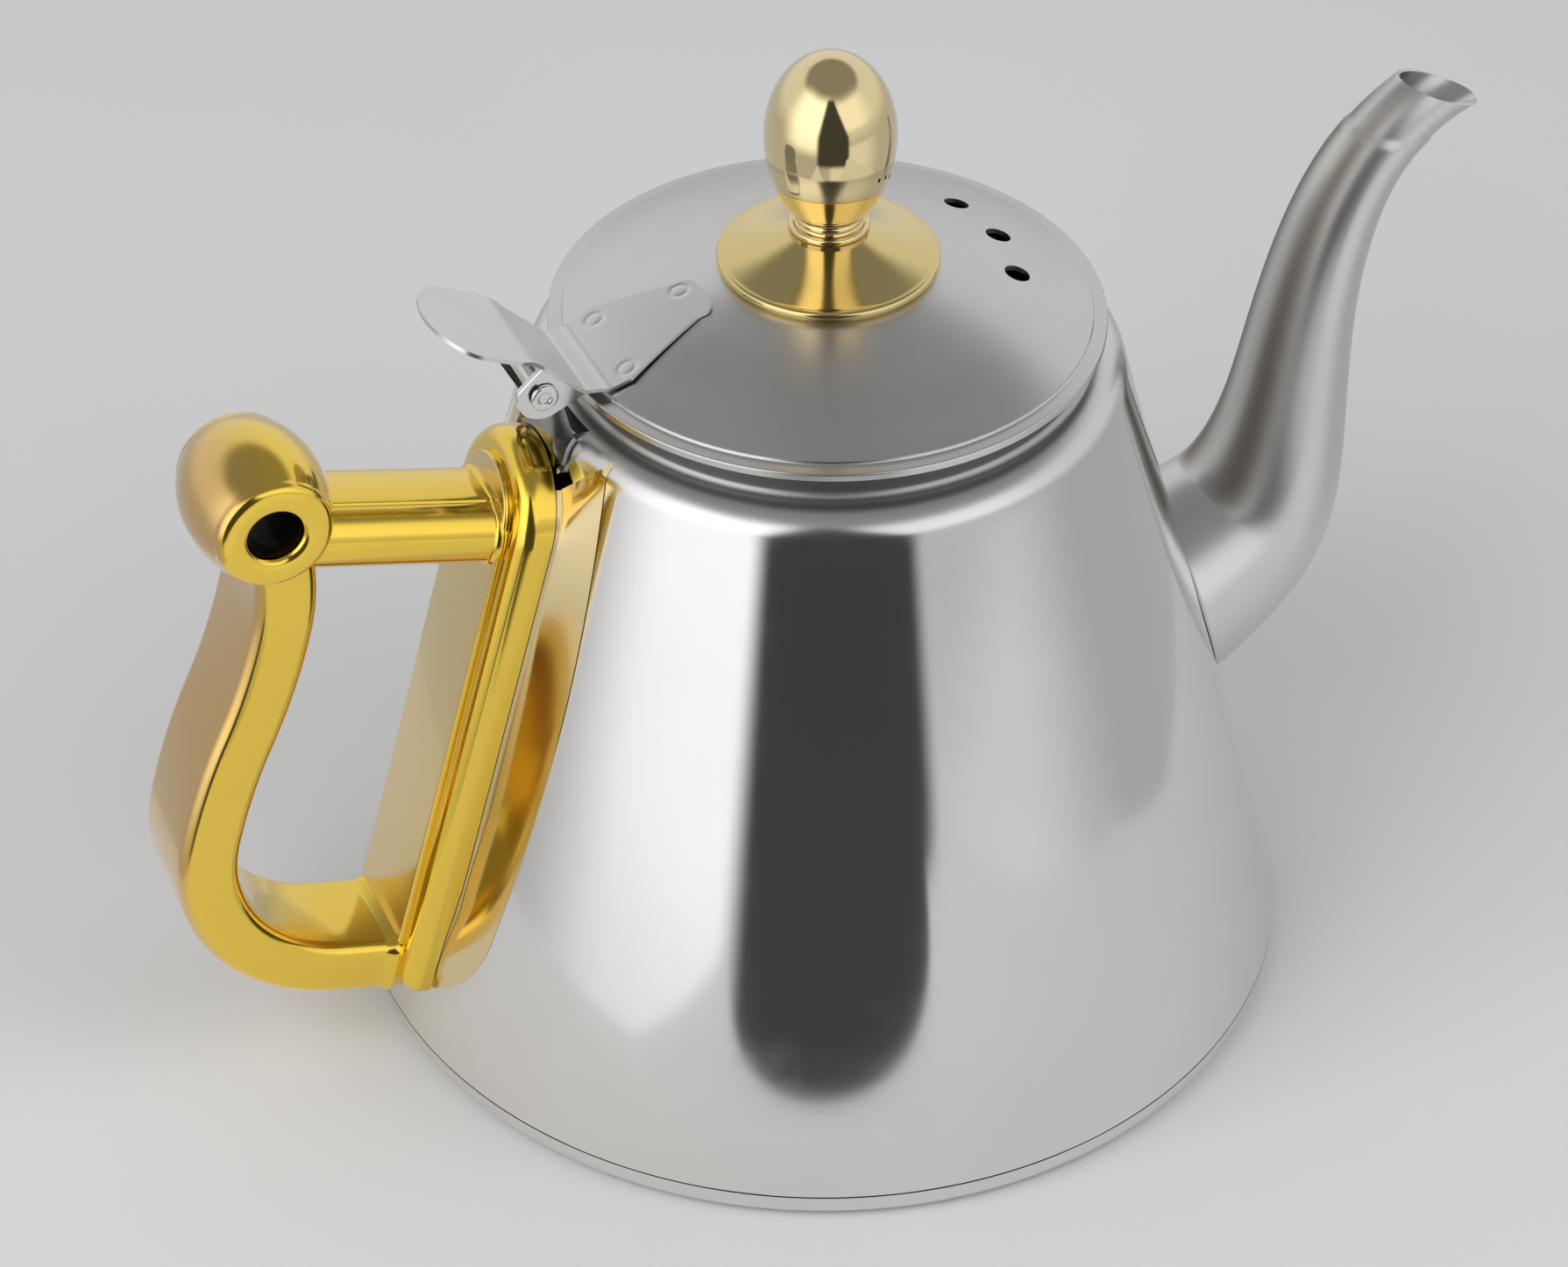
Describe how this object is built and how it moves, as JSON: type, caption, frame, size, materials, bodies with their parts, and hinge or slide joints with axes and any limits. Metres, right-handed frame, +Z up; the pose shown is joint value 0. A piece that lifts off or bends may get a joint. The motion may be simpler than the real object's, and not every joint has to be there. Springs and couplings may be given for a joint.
{
  "type": "gooseneck kettle",
  "caption": "Conical stainless-steel teapot kettle with a curved gooseneck spout, a hinged domed lid with a thumb lever and egg knob, and a plated loop handle.",
  "frame": {"origin": "centre of the base on the resting plane", "axes": "+Z up along the kettle's axis, +X towards the spout, handle on the -X side"},
  "size_m": [0.2185, 0.15, 0.1585],
  "materials": {
    "polished_steel": "polished stainless with fine turning lines",
    "base_steel": "dull polished stainless",
    "spout_steel": "satin stainless",
    "lid_steel": "circular brushed stainless",
    "hinge_steel": "bright stainless strip",
    "gold_plate": "gold plated moulding",
    "champagne_plate": "pale gold plated moulding",
    "bronze_plate": "bronze-gold plated sheet",
    "black_plastic": "rough unplated plastic",
    "insert_brass": "turned brass"
  },
  "bodies": {
    "kettle": {"body_shell": "polished_steel", "base_pan": "base_steel", "spout": "spout_steel", "handle_bracket": "bronze_plate", "handle": "gold_plate", "handle_insert": "black_plastic", "hinge_bracket": "hinge_steel", "hinge_pin": "hinge_steel"},
    "lid": {"lid_cover": "lid_steel", "lid_skirt": "lid_steel", "lid_lever": "hinge_steel", "knob_collar": "gold_plate", "knob": "champagne_plate", "knob_insert": "insert_brass", "knob_washer": "hinge_steel", "knob_screw": "hinge_steel"}
  },
  "joints": [
    {"name": "lid_hinge", "type": "hinge", "parent": "kettle", "child": "lid", "pos_m": [-0.0482, 0, 0.1186], "axis": [0, -1, 0], "range_deg": [0, 110]}
  ]
}
